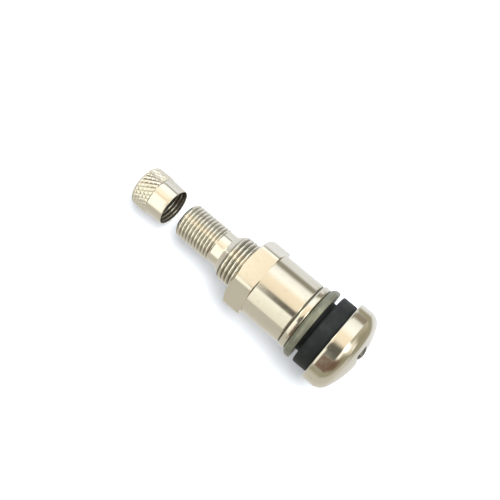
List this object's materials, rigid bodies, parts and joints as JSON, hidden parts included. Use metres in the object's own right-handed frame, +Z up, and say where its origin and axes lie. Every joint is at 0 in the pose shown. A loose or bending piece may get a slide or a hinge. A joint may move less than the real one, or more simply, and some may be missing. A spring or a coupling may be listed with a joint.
{
  "type": "tyre valve",
  "caption": "Clamp-in metal tyre valve with a rubber grommet, washer, hexagon sleeve nut and screw-in core, lying on its side with its knurled metal cap taken off.",
  "frame": {"origin": "on the floor under the middle of the whole length, with the cap where it lies", "axes": "+Z up; +X along the floor towards the head; the valve's axis lies in the XZ plane with its tip towards -X and a little down"},
  "size_m": [0.0558, 0.018, 0.0183],
  "materials": {
    "nickel_plate": "polished",
    "washer_metal": "satin",
    "black_rubber": "matte",
    "core_brass": "satin",
    "seal_plastic": "matte",
    "spring_steel": "satin"
  },
  "bodies": {
    "stem": {"valve_stem": "nickel_plate", "rubber_grommet": "black_rubber"},
    "washer": {"washer": "washer_metal"},
    "nut": {"sleeve_nut": "nickel_plate"},
    "cap_seal": {"cap_seal": "black_rubber"},
    "cap": {"cap_shell": "nickel_plate"},
    "core_barrel": {"core_barrel": "core_brass", "barrel_seal": "seal_plastic", "core_spring": "spring_steel"},
    "core_plug": {"core_plug": "core_brass"},
    "core_pin": {"core_pin": "core_brass", "poppet_cup": "core_brass", "poppet_seal": "black_rubber"}
  },
  "joints": [
    {"name": "nut_turn", "type": "hinge", "parent": "washer", "child": "nut", "pos_m": [0.01539, 0, 0.00846], "axis": [-0.9959, 0, -0.0908], "range_deg": [0, 4320]},
    {"name": "nut_travel", "type": "slide", "parent": "stem", "child": "washer", "axis": [-0.9959, 0, -0.0908], "range_m": [0, 0.01088]},
    {"name": "cap_pull", "type": "slide", "parent": "stem", "child": "cap_seal", "axis": [-0.9959, 0, -0.0908], "range_m": [-0.00975, 0.038]},
    {"name": "cap_turn", "type": "hinge", "parent": "cap_seal", "child": "cap", "pos_m": [-0.01967, 0, 0.00526], "axis": [-0.9959, 0, -0.0908], "continuous": true},
    {"name": "core_turn", "type": "hinge", "parent": "core_barrel", "child": "core_plug", "pos_m": [-0.01609, 0, 0.00559], "axis": [-0.9959, 0, -0.0908], "range_deg": [0, 360]},
    {"name": "core_travel", "type": "slide", "parent": "stem", "child": "core_barrel", "axis": [-0.9959, 0, -0.0908], "range_m": [0, 0.0007056]},
    {"name": "pin_press", "type": "slide", "parent": "core_barrel", "child": "core_pin", "axis": [0.9959, 0, 0.0908], "range_m": [0, 0.0012], "stiffness_N_per_m": 600, "springref_m": -0.003, "deforming": ["core_spring"]}
  ],
  "couplings": [
    {"joint": "nut_turn", "follows": "nut_travel", "rad_per_m": 6927.4},
    {"joint": "core_turn", "follows": "core_travel", "rad_per_m": 8904.7}
  ]
}
